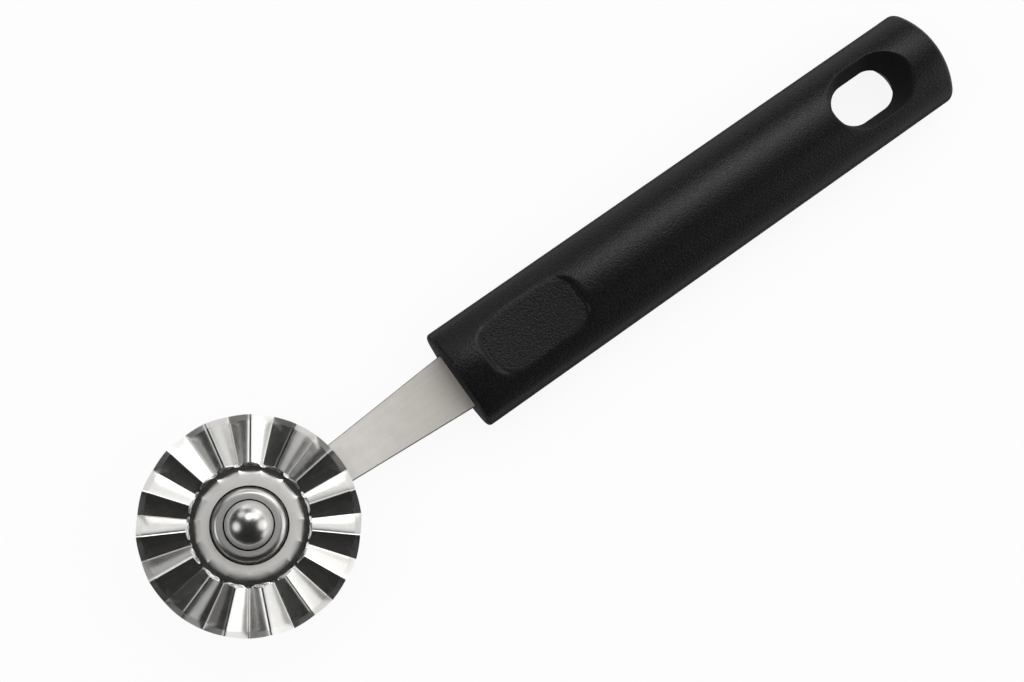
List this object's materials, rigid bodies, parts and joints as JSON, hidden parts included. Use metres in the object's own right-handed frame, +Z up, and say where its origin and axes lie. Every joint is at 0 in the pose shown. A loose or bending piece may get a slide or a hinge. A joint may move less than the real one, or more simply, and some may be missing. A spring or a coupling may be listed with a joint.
{
  "type": "pastry wheel",
  "caption": "Hand pastry wheel: a fluted steel wheel rolls on a rivet at the end of a flat steel shank, with an oval moulded handle that has a thumb recess and a hanging hole.",
  "frame": {"origin": "under the middle of the tool's length and width, on the surface that the handle lies on", "axes": "+X along the tool from the wheel to the butt of the handle, +Y across it, +Z up along the axle of the wheel"},
  "size_m": [0.181, 0.04, 0.0147],
  "materials": {
    "black_plastic": "black moulded plastic with a fine even grain",
    "satin_steel": "satin stainless steel strip",
    "polished_steel": "bright polished stainless steel"
  },
  "bodies": {
    "handle_and_shank": {"handle": "black_plastic", "shank": "satin_steel", "axle_rivet": "polished_steel", "spacer_washer": "satin_steel", "rivet_washer": "satin_steel"},
    "wheel": {"fluted_wheel": "polished_steel", "hub_bush": "polished_steel", "hub_collar": "polished_steel"}
  },
  "joints": [
    {"name": "wheel_spin", "type": "hinge", "parent": "handle_and_shank", "child": "wheel", "pos_m": [-0.0705, 0, 0.00986], "axis": [0, 0, 1], "continuous": true}
  ]
}
